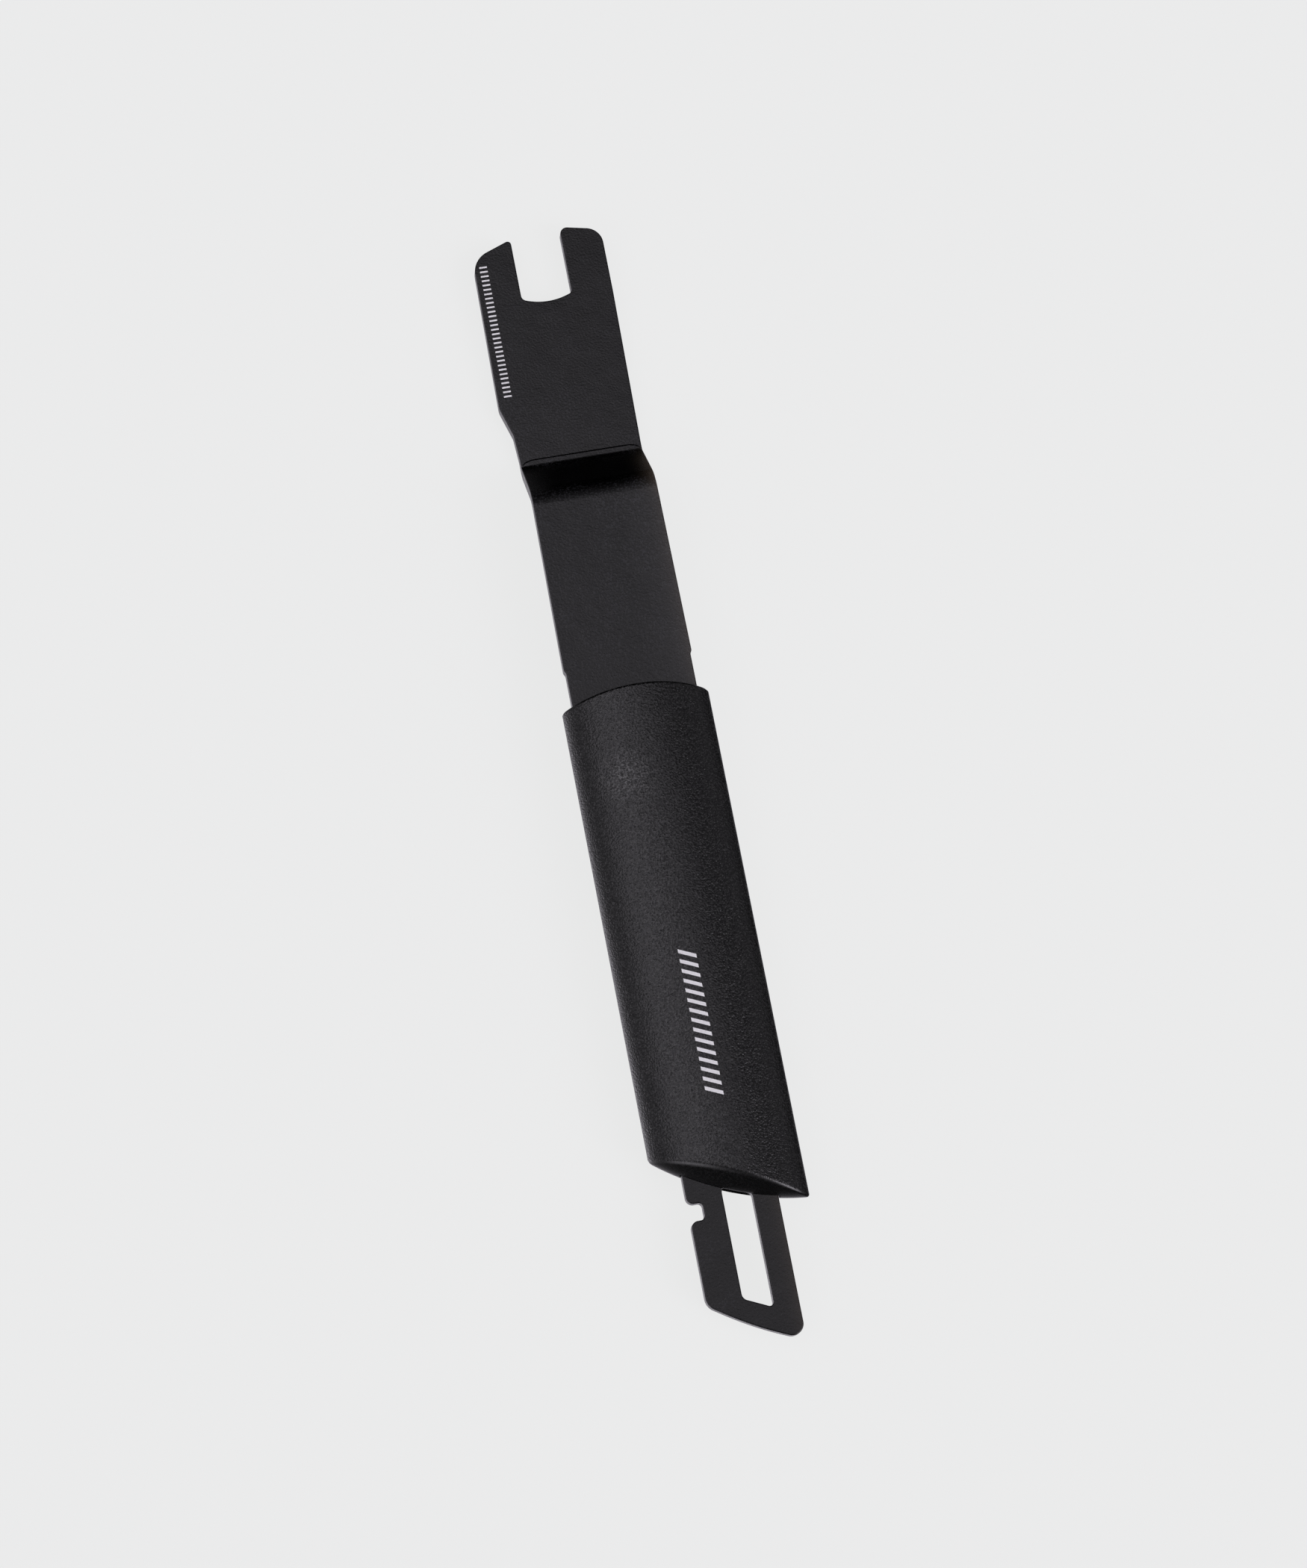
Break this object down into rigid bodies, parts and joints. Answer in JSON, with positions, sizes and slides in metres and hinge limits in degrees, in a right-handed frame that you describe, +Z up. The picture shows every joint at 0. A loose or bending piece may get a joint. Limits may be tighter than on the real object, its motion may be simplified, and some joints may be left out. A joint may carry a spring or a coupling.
{
  "type": "pedal wrench",
  "caption": "Flat joggled steel pedal wrench with an open 15 mm jaw, a lens shaped plastic handle sleeve and a slotted tail for hanging.",
  "frame": {"origin": "under the middle of the wrench's length and width, on the table it lies on", "axes": "+Y along the wrench towards the jaw, +X to the jaw's straight edge, away from the edge with the step and the notch, +Z up off the table"},
  "size_m": [0.0426, 0.335, 0.0232],
  "materials": {
    "plate_coating": "smooth satin black coating on steel",
    "grip_plastic": "black moulded plastic with a fine grain"
  },
  "bodies": {
    "root": {"wrench_plate": "plate_coating", "handle_grip": "grip_plastic"}
  },
  "joints": []
}
